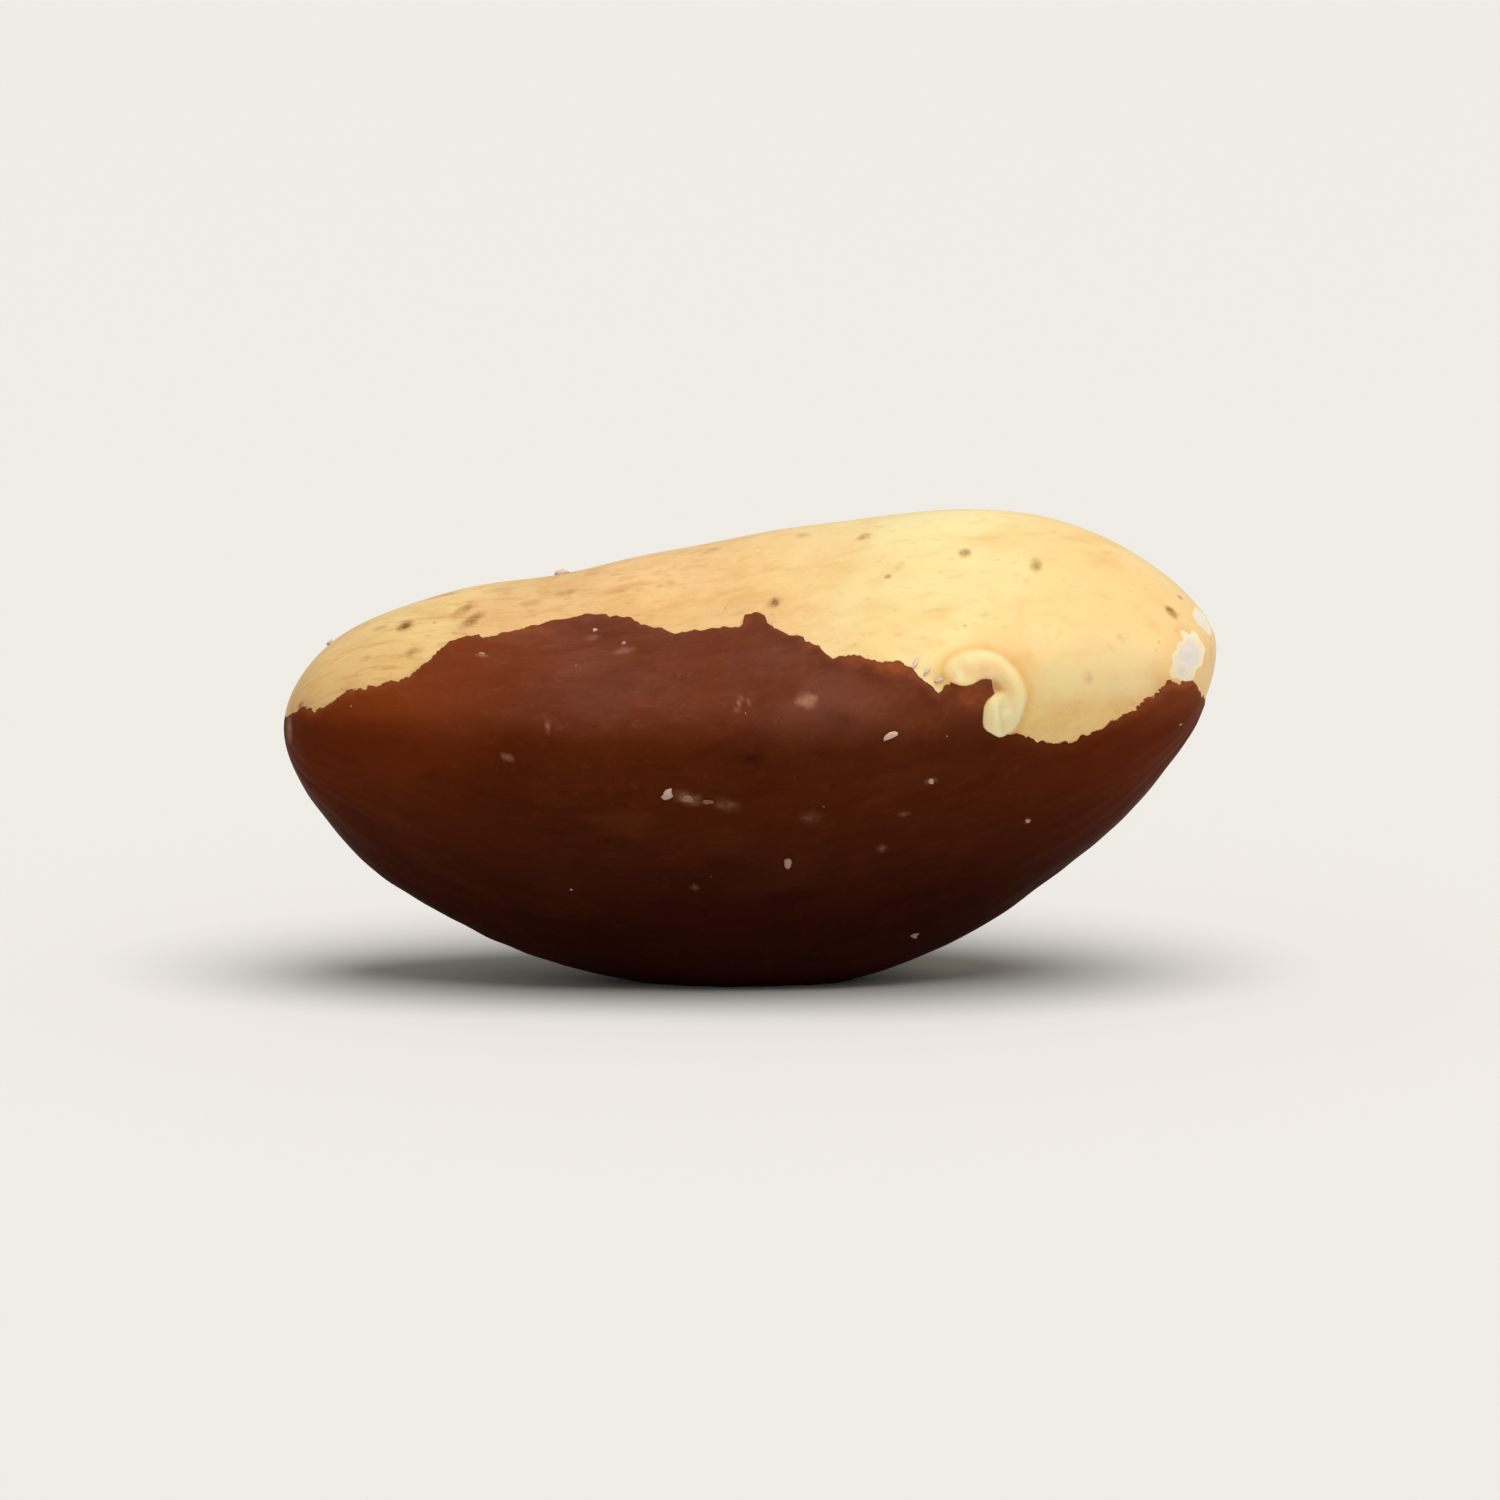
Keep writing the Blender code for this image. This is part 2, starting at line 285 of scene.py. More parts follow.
# Marks on the surface. Those on the front are placed by x and by height as seen from a little above.
markForm = {
    # flakes broken off nearly flat: x, height, how deep, and how far the break leans along x and up
    "chips": (
        (17.42, 3.35, 0.085, 0.0, 0.05),
        (17.4, 2.95, 0.050, -0.05, 0.0),
        (17.5, 4.1, 0.020, 0.0, 0.0),
        (17.65, 5.15, 0.026, 0.08, -0.08),
    ),
    "chipReach": 4.6,  # a plane takes off nothing farther away than this
    "chipRagged": (0.6, 0.012, 42),  # waves that make its outline uneven
    "chipRoughness": ((0.5, 0.010, 40), (0.25, 0.005, 41)),
    "curl": (  # a shred rubbed up from the flesh: x, height, half its width, how high it stands
        (8.15, 2.78, 0.60, 0.18),
        (8.7, 2.94, 0.66, 0.24),
        (9.35, 2.95, 0.60, 0.26),
        (10.0, 2.65, 0.50, 0.27),
        (10.42, 2.1, 0.50, 0.28),
        (10.3, 1.55, 0.66, 0.32),
        (9.88, 1.05, 0.90, 0.38),
    ),
    "curlDegree": 5,  # of the curve it lies along
    "curlSteps": 90,
    "curlRoundness": 0.7,  # 0.5 is a half circle across, 1 a parabola
    "curlUneven": (0.9, 0.03, 44),
    "curlLumps": (0.6, 0.10, 45),
    "curlGroove": (0.04, 0.35),  # beside it: depth and width
    # brown marks on the flesh, and at the end painted shade in the hollow inside the curl: x, height, radius,
    # how much longer, the slant of that, and how dark
    "flecksAndPaintedShade": (
        (-13.6, 4.75, 0.25, 1.6, 80, 0.95),
        (-11.4, 5.45, 0.21, 3.0, 58, 0.65),
        (-11.05, 5.0, 0.21, 3.0, 58, 0.7),
        (-13.4, 3.55, 0.22, 1.9, 45, 0.5),
        (-12.2, 6.0, 0.20, 3.0, 12, 0.4),
        (-15.2, 3.4, 0.16, 1.6, 0, 0.3),
        (-9.9, 6.2, 0.22, 2.6, 14, 0.35),
        (-7.3, 6.0, 0.22, 1.8, 10, 0.4),
        (0.95, 5.5, 0.20, 1.6, 90, 0.95),
        (4.5, 8.3, 0.22, 1.4, 90, 0.6),
        (8.5, 7.6, 0.19, 1.6, 90, 0.8),
        (11.4, 7.05, 0.18, 2.6, 86, 0.8),
        (16.75, 5.2, 0.21, 1.3, 90, 1.0),
        (9.3, 4.9, 0.15, 1.6, 20, 0.2),
        (13.3, 2.5, 0.16, 1.3, 90, 0.3),
        (6.0, 7.0, 0.18, 1.5, 90, 0.2),
        (-14.6, 4.7, 0.20, 1.4, 20, 0.3),
        (-8.6, 5.7, 0.18, 2.0, 12, 0.3),
        (-5.2, 7.2, 0.26, 2.2, 10, 0.35),
        (-3.1, 6.2, 0.15, 1.2, 0, 0.25),
        (2.2, 8.2, 0.24, 1.2, 0, 0.3),
        (-1.4, 7.4, 0.2, 1.8, 8, 0.3),
        (14.6, 4.1, 0.14, 1.2, 0, 0.2),
        (-17.75, 1.45, 0.16, 1.5, 0, 0.9),
        # painted shade in the hollow inside the curl
        (9.75, 2.6, 0.34, 1.3, 0, 0.22),
    ),
    # rubbed, dusty marks on the coat, listed the same way
    "scuffs": (
        (-2.4, -2.1, 0.18, 2.6, -12, 0.40),
        (-0.9, -2.4, 0.18, 2.4, -5, 0.20),
        (-9.4, -0.55, 0.07, 5.0, 5, 0.5),
        (-7.9, 0.5, 0.07, 2.6, 80, 0.4),
        (-0.4, 1.35, 0.07, 4.0, 75, 0.5),
        (-0.05, 1.4, 0.07, 3.0, -70, 0.35),
        (2.25, 1.62, 0.19, 1.9, 3, 1.0),
        (2.4, -2.95, 0.18, 2.2, 5, 0.15),
        (7.1, -1.55, 0.13, 1.2, 0, 0.45),
        (11.0, -3.1, 0.12, 1.0, 0, 0.4),
        (6.05, -2.9, 0.12, 1.2, 0, 0.35),
        (5.2, -4.25, 0.13, 1.0, 0, 0.35),
        (-10.5, 3.45, 0.10, 1.8, 0, 0.45),
        (-6.2, 4.2, 0.16, 1.6, 15, 0.25),
        (-4.9, 3.6, 0.22, 1.8, 10, 0.25),
        (-2.1, -5.7, 0.12, 1.0, 0, 0.25),
        (-18.15, 0.5, 0.30, 1.6, 80, 0.45),
    ),
    # places where it is rubbed thin and rusty, and darker marks, listed the same way
    "thin": (
        (5.6, 2.75, 0.34, 2.6, -12, 0.7),
        (4.4, 3.0, 0.30, 2.2, 0, 0.45),
        (8.7, 1.75, 0.45, 1.6, -10, 0.55),
        (2.4, 3.6, 0.28, 2.4, -35, 0.3),
        (-0.1, 4.6, 0.25, 1.2, 90, 0.35),
        (-8.8, 4.5, 0.30, 4.0, 10, 0.3),
        (6.9, 0.6, 0.45, 1.8, -15, 0.15),
    ),
    "stains": (
        (0.1, -0.55, 0.16, 2.4, 0, 0.6),
        (-12.5, -1.2, 0.25, 2.0, 10, 0.25),
        (3.6, 0.9, 0.3, 2.2, -15, 0.25),
    ),
}


# The grid point on the front that is seen at this x and height.
def pointSeenAt(points, normals, x, height):
    gap = (points[..., 0] - x) ** 2 + (seenHeight(points) - height) ** 2
    gap = np.where(normals[..., 1] < coatForm["frontFacing"], gap, np.inf)
    return np.unravel_index(np.argmin(gap), gap.shape)


# Each mark has its full strength out to half its radius and falls in a straight line to 0 at one and a half,
# with the distance along its slant divided by how much longer it is. The slant turns from x to the way up the
# surface, which is the view's upward direction less its part along the normal.
def markedBy(points, normals, marks):
    cover = np.zeros(points.shape[:2])
    for x, height, radius, longer, slant, strength in marks:
        place = pointSeenAt(points, normals, x, height)
        away = points - points[place]
        upward = seenUp() - normals[place] * (normals[place] @ seenUp())
        upward = upward / np.linalg.norm(upward)
        slant = math.radians(slant)
        lengthwise = away @ (math.cos(slant) * np.array([1, 0, 0]) + math.sin(slant) * upward)
        across = np.maximum(0, (away**2).sum(axis=-1) - lengthwise**2)
        distance = np.sqrt((lengthwise / longer) ** 2 + across)
        cover = np.maximum(cover, strength * np.clip(1.5 - distance / radius, 0, 1))
    return cover


# Flat breaks: each takes off what lies beyond a plane set into the surface. Gives the height, which is the
# distance beyond the plane with its sign turned, roughened, and the distance itself.
def chippedOff(points, normals):
    untouched = -1.0  # mm, well inside every plane
    beyond = np.full(points.shape[:2], untouched)
    for x, heightSeen, deep, leanX, leanUp in markForm["chips"]:
        place = pointSeenAt(points, normals, x, heightSeen)
        facing = normals[place] + leanX * np.array([1, 0, 0]) + leanUp * seenUp()
        facing = facing / np.linalg.norm(facing)
        away = points - points[place]
        near = np.linalg.norm(away, axis=-1) < markForm["chipReach"]
        beyond = np.maximum(beyond, np.where(near, away @ facing + deep, untouched))
    beyond = beyond + waves(points, *markForm["chipRagged"])
    height = -np.maximum(0, beyond)
    for wavelength, size, seed in markForm["chipRoughness"]:
        height = height + waves(points, wavelength, size, seed) * ease(beyond / size)
    return height, beyond


# A round ridge laid along a smooth curve near the listed places. Its height is the rise times
# (1 - (distance / radius)^2)^roundness, made uneven by waves, and a groove runs beside it. Gives the height,
# and how far inside the ridge a point lies.
def curledUp(points, normals):
    form = markForm
    route = np.array(form["curl"])
    places = np.array([points[pointSeenAt(points, normals, x, height)] for x, height in route[:, :2]])
    share = np.linspace(0, 1, len(route))
    fine = np.linspace(0, 1, form["curlSteps"])
    table = np.concatenate([places, route[:, 2:]], axis=1)
    degree = form["curlDegree"]
    smooth = [np.polynomial.Polynomial.fit(share, column, degree)(fine) for column in table.T]
    uneven = 1 + waves(points, *form["curlUneven"])
    height = np.zeros(points.shape[:2])
    farOutside = -9.0  # mm
    inside = np.full(points.shape[:2], farOutside)
    for x, y, z, radius, rise in np.stack(smooth, axis=-1):
        away = np.linalg.norm(points - (x, y, z), axis=-1) * uneven
        ridge = np.maximum(0, 1 - (away / radius) ** 2) ** form["curlRoundness"]
        height = np.maximum(height, rise * ridge)
        inside = np.maximum(inside, radius - away)
    deep, width = form["curlGroove"]
    groove = deep * np.exp(-((inside / width + 1) ** 2)) * (inside < 0)
    return height * (1 + waves(points, *form["curlLumps"])) - groove, inside


# A smooth-shaded mesh whose place is in its points, which go from millimetres to metres here.
def addMesh(name, points, faces):
    mesh = bpy.data.meshes.new(name)
    mesh.from_pydata((points * mm).tolist(), [], faces)
    mesh.shade_smooth()
    made = bpy.data.objects.new(name, mesh)
    bpy.context.scene.collection.objects.link(made)
    return made


# The smooth kernel, raised or lowered along its normals by everything above, set down on its flat spot and
# centred over the origin. What the material needs to know goes with it as attributes.
def makeKernel():
    form = kernelForm
    station, turn = gridSteps()
    smooth = smoothKernel(station, turn)
    normals = gridNormals(smooth)
    grain = grainAt(smooth, turn)
    depth = coatDepthAt(smooth, normals)
    chipHeight, chip = chippedOff(smooth, normals)
    curlHeight, curl = curledUp(smooth, normals)

    height = np.where(chip > 0, 0, coatHeightAt(smooth, depth, grain)) + chipHeight + curlHeight
    for wavelength, size, seed in form["lumps"]:
        height = height + waves(smooth, wavelength, size, seed)
    for holeStation, facing, radius, pressed in form["hollows"]:
        away = np.linalg.norm(smooth - placeOn(holeStation, facing), axis=-1)
        height = height - pressed * np.exp(-((away / radius) ** 2))

    points = smooth + normals * height[..., None]
    lowest, highest = points.min(axis=(0, 1)), points.max(axis=(0, 1))
    floor = lowest[2] + form["flatDepth"]
    points[..., 2] = np.maximum(points[..., 2], floor)
    points = points - (*(lowest + highest)[:2] / 2, floor)

    kernel = addMesh("kernelSurface", gridList(points), gridFaces(form["rows"], form["columns"]))
    attributes = {
        "coatDepth": depth,
        "chip": chip,
        "curl": curl,
        "flecksAndPaintedShade": markedBy(smooth, normals, markForm["flecksAndPaintedShade"]),
        "scuffs": markedBy(smooth, normals, markForm["scuffs"]),
        "stains": markedBy(smooth, normals, markForm["stains"]),
        "thin": markedBy(smooth, normals, markForm["thin"]),
    }
    for name, grid in attributes.items():
        values = gridList(grid).astype(np.float32)
        kernel.data.attributes.new(name, "FLOAT", "POINT").data.foreach_set("value", values)
    grainValues = gridList(grain).astype(np.float32).ravel()
    kernel.data.attributes.new("grain", "FLOAT_VECTOR", "POINT").data.foreach_set("vector", grainValues)
    print("kernel:", len(kernel.data.vertices), "points,", np.ptp(gridList(points), axis=0).round(2), "mm")
    return kernel, points, smooth, normals, depth


# Crumbs of nut that stick to the kernel, angular and dry. Those on the front are placed by x and height as
# seen, the rest are strewn over the coat by a seeded draw.
crumbForm = {
    "placed": (  # x, height, half the length, width and height of the crumb, its slant, and how pale it is
        (-3.22, -1.93, 0.25, 0.20, 0.12, 20, 0.55),
        (-2.45, -2.05, 0.22, 0.15, 0.05, -10, 0.15),
        (-1.6, -2.2, 0.22, 0.13, 0.04, -15, 0.05),
        (1.5, -4.75, 0.17, 0.24, 0.10, 5, 0.3),
        (5.52, 0.42, 0.34, 0.13, 0.12, 22, 0.8),
        (6.55, -7.6, 0.17, 0.15, 0.10, 0, 0.25),
        (-7.5, 6.9, 0.26, 0.20, 0.18, 0, 1.0),
        (6.6, 3.0, 0.26, 0.08, 0.07, 75, 1.0),
        (7.0, 2.68, 0.22, 0.08, 0.07, 60, 0.95),
        (7.45, 2.4, 0.18, 0.08, 0.06, 40, 0.9),
        (-16.8, 4.2, 0.18, 0.14, 0.12, 0, 0.9),
        (-6.15, 4.45, 0.11, 0.09, 0.06, 0, 0.6),
        (-5.0, 3.9, 0.09, 0.08, 0.05, 0, 0.5),
        (-10.5, 3.5, 0.11, 0.08, 0.05, 10, 0.5),
        (7.1, -1.55, 0.12, 0.10, 0.07, 0, 0.5),
        (11.0, -3.1, 0.10, 0.09, 0.06, 0, 0.5),
    ),
    "strewn": 30,
    "sizes": (0.03, 0.10),  # half the length of a strewn crumb, smallest and largest
    "mostlySmall": 1.8,
    "flatness": 0.6,
    "palest": 0.5,  # of the strewn ones
    "angularity": (1.6, 0.25),  # wavelength and height on a ball of radius 1
    "sunk": 0.42,  # the share of its height that lies in the surface
    "depth": 0.5,  # a strewn one lies at least this far inside the coat's edge
    "facingDown": -0.9,  # and not where the normal's z is below this
    "narrowest": 0.5,  # the least share of its length that a strewn one is wide
    "rings": 6,
    "sides": 8,
    "apart": 50.0,  # each reads its waves at a place of its own, up to this far off
    "seed": 7,
}


# Each crumb is a squashed ball whose radius varies by waves of about its own size. Its axes are the surface
# normal and two directions square to it, turned by the crumb's slant.
def makeCrumbs(points, smooth, normals, depth):
    form = crumbForm
    draw = np.random.default_rng(form["seed"])
    cells = [pointSeenAt(smooth, normals, x, height) for x, height, *rest in form["placed"]]
    around = np.linalg.norm(np.roll(points, -1, axis=1) - points, axis=-1)
    along = np.linalg.norm(np.gradient(points, axis=0), axis=-1)
    exposed = (depth > form["depth"]) & (normals[..., 2] > form["facingDown"])
    weight = np.where(exposed, around * along, 0).ravel()
    strewn = draw.choice(weight.size, form["strewn"], replace=False, p=weight / weight.sum())
    cells += [np.unravel_index(cell, depth.shape) for cell in strewn]
    smallest, largest = form["sizes"]
    share = draw.uniform(0, 1, form["strewn"]) ** form["mostlySmall"]
    half = smallest * (largest / smallest) ** share
    widths = half * draw.uniform(form["narrowest"], 1, form["strewn"])
    slants = draw.uniform(-90, 90, form["strewn"])
    paleness = draw.uniform(0, form["palest"], form["strewn"])
    drawn = np.stack([half, widths, half * form["flatness"], slants, paleness], axis=-1)
    table = np.concatenate([np.array(form["placed"])[:, 2:], drawn])

    rowIndex, columnIndex = np.array(cells).T
    up = normals[rowIndex, columnIndex]
    side = np.cross(up, (0, 0, 1))
    side /= np.linalg.norm(side, axis=-1, keepdims=True)
    other = np.cross(up, side)
    slant = np.radians(table[:, 3:4])
    lengthwise = np.cos(slant) * side + np.sin(slant) * other
    axes = np.stack([lengthwise, np.cross(up, lengthwise), up], axis=1)

    pitch = np.linspace(0, np.pi, form["rings"] + 1)[:, None]
    yaw = np.linspace(0, 2 * np.pi, form["sides"], endpoint=False)[None, :]
    ball = [np.sin(pitch) * np.cos(yaw), np.sin(pitch) * np.sin(yaw), 0 * yaw - np.cos(pitch)]
    ball = gridList(np.stack(ball, axis=-1))
    offset = draw.uniform(-form["apart"], form["apart"], (len(up), 1, 3))
    uneven = 1 + waves(ball + offset, *form["angularity"], form["seed"])
    sizes = table[:, None, :3]
    lifted = ball * uneven[..., None] * sizes + (0, 0, 1) * sizes * (1 - 2 * form["sunk"])
    placed = np.einsum("nvk,nkj->nvj", lifted, axes) + points[rowIndex, columnIndex][:, None, :]

    one = [np.array(face) for face in gridFaces(form["rings"], form["sides"])]
    faces = [(face + number * len(ball)).tolist() for number in range(len(up)) for face in one]
    crumbs = addMesh("fleshCrumbs", placed.reshape(-1, 3), faces)
    pale = np.repeat(table[:, 4], len(ball)).astype(np.float32)
    crumbs.data.attributes.new("paleness", "FLOAT", "POINT").data.foreach_set("value", pale)
    print("crumbs:", len(up))
    return crumbs


# sRGB hex to the linear colour that a shader takes, by the standard's own curve
def colour(text):
    shares = np.array([int(text[start : start + 2], 16) / 255 for start in (1, 3, 5)])
    linear = np.where(shares <= 0.04045, shares / 12.92, ((shares + 0.055) / 1.055) ** 2.4)
    return (*linear.tolist(), 1.0)


# Adds one node with its settings and what goes into it, which is a number, a colour or the output of another
# node, and hands back one of its outputs. Where their names repeat, sockets go by number: a colour Mix has
# its share at 0 and its colours at 6 and 7 and gives output 2, and a Map Range has its value at 0, the two
# ends that it comes from at 1 and 2, and those that it goes to at 3 and 4.
def addNode(tree, kind, inputs, gives=0, **settings):
    made = tree.nodes.new("ShaderNode" + kind)
    for name, value in settings.items():
        setattr(made, name, value)
    for socket, value in inputs.items():
        if isinstance(value, bpy.types.NodeSocket):
            tree.links.new(value, made.inputs[socket])
        else:
            made.inputs[socket].default_value = colour(value) if isinstance(value, str) else value
    return made.outputs[gives]


# octaves of detail in each noise, and how strong each finer one stays
noises = {
    "patches": {"Detail": 4.0, "Roughness": 0.55},
    "grit": {"Detail": 5.0},
    "fibres": {"Detail": 5.0, "Roughness": 0.6},
    "veins": {"Detail": 3.0},
    "bloomAndSheen": {"Detail": 4.0, "Roughness": 0.6},
    "wrinkles": {"Detail": 6.0, "Roughness": 0.6},
    "crumbs": {"Detail": 3.0},
}


# Lays patches of colour over a surface: noise of one size in mm, drawn out along x, fades in between two of
# its values and shows at most its share.
def layColours(tree, surface, place, layers, way):
    blend = {"gives": 2, "data_type": "RGBA", "blend_type": way}
    for tint, size, longer, low, high, share in layers:
        drawn = addNode(tree, "Mapping", {"Vector": place, "Scale": (1 / longer, 1, 1)})
        patches = {"Vector": drawn, "Scale": 1 / size, **noises["patches"]}
        noise = addNode(tree, "TexNoise", patches)
        fades = {0: noise, 1: low, 2: high, 4: share}
        cover = addNode(tree, "MapRange", fades, interpolation_type="SMOOTHSTEP")
        surface = addNode(tree, "Mix", {0: cover, 6: surface, 7: tint}, **blend)
    return surface


# Brazil nut flesh, dense and two thirds oil, rubbed bare: light goes a little way in, and a thin film of
# oil gives it a soft wide gleam.
fleshLook = {
    "along": (  # x and the ground colour there: khaki at the narrow end, rosier over the middle
        (-18.2, "#d2a675"),
        (-16.5, "#dcb87f"),
        (-13.0, "#eccb8b"),
        (-10.5, "#ddb278"),
        (-6.0, "#ecc38a"),
        (0.0, "#eec386"),
        (3.0, "#f4d194"),
        (6.0, "#fbe4a6"),
        (9.0, "#fbe0a0"),
        (12.0, "#f5d290"),
        (18.0, "#f3cf94"),
    ),
    "wander": 11.0,  # noise that makes these bands uneven: its range in mm, and its size
    "wanderSize": 5.0,
    # multiplied in: tint, size of its patches in mm, how much longer, where it fades in, share
    "layers": (
        ("#f4e8d2", 6.0, 1.6, 0.42, 0.62, 0.35),
        ("#f0e0ca", 2.4, 1.5, 0.48, 0.68, 0.45),
        ("#efdfca", 0.9, 1.6, 0.50, 0.70, 0.32),
        ("#e6cdb0", 0.35, 1.4, 0.60, 0.74, 0.35),
    ),
    "pale": "#fff0c0",  # painted light: a paler band on the front under the blunt end's shoulder, where it turns down
    # where it comes in and goes out along each axis
    "paintedLightX": ((9.5, 12.5), (17.0, 15.0)),
    "paintedLightY": ((1.0, -3.0),),
    "paintedLightZ": ((15.2, 13.6), (11.7, 12.9)),
    "paintedLightShare": 0.48,
    "streaks": (  # listed the same way
        ("#d2ab7c", 0.9, 2.2, 0.52, 0.74, 0.42),
        ("#c9ae78", 0.5, 1.5, 0.54, 0.72, 0.32),
        ("#a8824e", 0.3, 2.0, 0.64, 0.78, 0.22),
    ),
    "streaksFrom": (5.0, -5.0),  # x from which they come in, to the narrow end
    "vein": "#c09058",
    "veinLevel": 0.5,  # veins run where a noise passes this value
    "veinSize": 1.5,
    "veinWidth": 0.008,
    "veinShare": 0.20,
    "fleck": "#9c7638",  # multiplied in
    "pinSpacing": 1.9,
    "pinRadius": 0.09,  # on average, as each is drawn at random up to twice this
    "pinEdge": (0.02, -0.03),
    "pinShare": 0.5,
    "paintedCurlShade": "#f8ecd4",  # painted shade, multiplied in beside the curl
    "paintedCurlShadeFrom": (-0.5, 0.0),
    "curl": "#f8e3b2",
    "curlFrom": (-0.06, 0.25),
    "curlShare": 0.7,
    "curlCovers": (0.02, 0.08),  # the coat
    "curlPaintedLight": "#ffe9ba",  # painted light on its lower end, which faces down, makes that end the palest
    "curlPaintedLightFrom": (12.9, 11.9),  # heights over the floor
    "roughness": 0.42,
    "gleam": 0.35,  # how much of the oil's film shows
    "lightGoesIn": (1.0, 0.55, 0.25),  # mm, of red, green and blue
}
# The dry seed coat, a papery skin with fibres from tip to tip: matte and red-brown, warmer at the narrow
# end, paler where it is worn thin at its torn edge, with painted sheen up high and painted shade below.
coatLook = {
    "ground": "#6c321a",
    # laid over it: tint, size of its patches in mm, how much longer, where it fades in, share
    "layers": (
        ("#51200e", 5.0, 1.6, 0.42, 0.62, 0.50),
        ("#7f4733", 2.8, 1.8, 0.50, 0.70, 0.50),
        ("#421809", 0.60, 3.4, 0.50, 0.68, 0.20),
        ("#87543e", 0.50, 2.4, 0.56, 0.74, 0.20),
        ("#9a6a56", 0.30, 1.3, 0.56, 0.76, 0.12),
        ("#2e0e05", 0.30, 1.4, 0.64, 0.76, 0.45),
    ),
    "warm": "#86390a",
    "warmFrom": ((-6.0, -15.0), (9.0, 15.0)),  # x, towards either tip
    "warmShare": 0.55,
    "warmAbove": (6.5, 10.0),  # heights over the floor
    "deep": "#c6ad70",  # painted shade, multiplied in below the upper band
    "deepFrom": (12.5, 10.4),  # heights over the floor
    "dark": "#a08a60",  # painted shade, multiplied in deeper towards the floor
    "darkFrom": (10.4, 2.5),
    "wornEdge": "#8c4c2c",
    "wornWidth": 0.5,  # mm inside the edge
    "wornShare": 0.35,
    # a pinkish haze on the upper band, partly a waxy bloom and partly painted sheen
    "bloomAndSheen": "#8a5747",
    "bloomAndSheenSize": 4.0,
    "bloomAndSheenFades": (0.36, 0.66),
    "bloomAndSheenShare": 0.16,
    "bloomAndSheenFrom": (10.0, 12.5),  # heights over the floor
    "bloomAndSheenAlong": (-14.0, -9.0),  # x
    "thin": "#9c4f26",
    "scuffs": "#b9866c",
    "stains": "#2b0b04",
    "roughness": 0.55,
    "fibreSize": 0.45,
    "fibreLonger": 7.0,
    "edgeFrom": (-0.10, -0.05),  # depths between which it covers the flesh
    "ragged": 0.4,  # grit shifts that edge within a range of this many mm
}
chipLook = {"core": "#eae0d4", "rim": "#f8e7c6", "shows": (-0.004, 0.006), "coreFrom": (0.015, 0.07)}
# relief too fine for the mesh, in mm
reliefForm = {
    "grit": 0.30,
    "pores": 0.020,
    "strands": 0.020,
    "wrinkleSize": 0.7,
    "wrinkles": 0.05,
    "edge": 0.05,  # the step at the coat's edge
}
finish = {
    "ior": 1.47,  # nut oil
    "specular": 0.03,  # matched to the photo, where little but the oil gleams
    "oilRoughness": 0.35,
    "roughnessRange": 0.16,  # over which grit varies the roughness
    "subsurface": 1.1,  # times the distances that light goes in
    "speckle": (0.35, 0.63, 0.57, 1.17),  # grit breaks up marks: from, to, and their strength at each
}


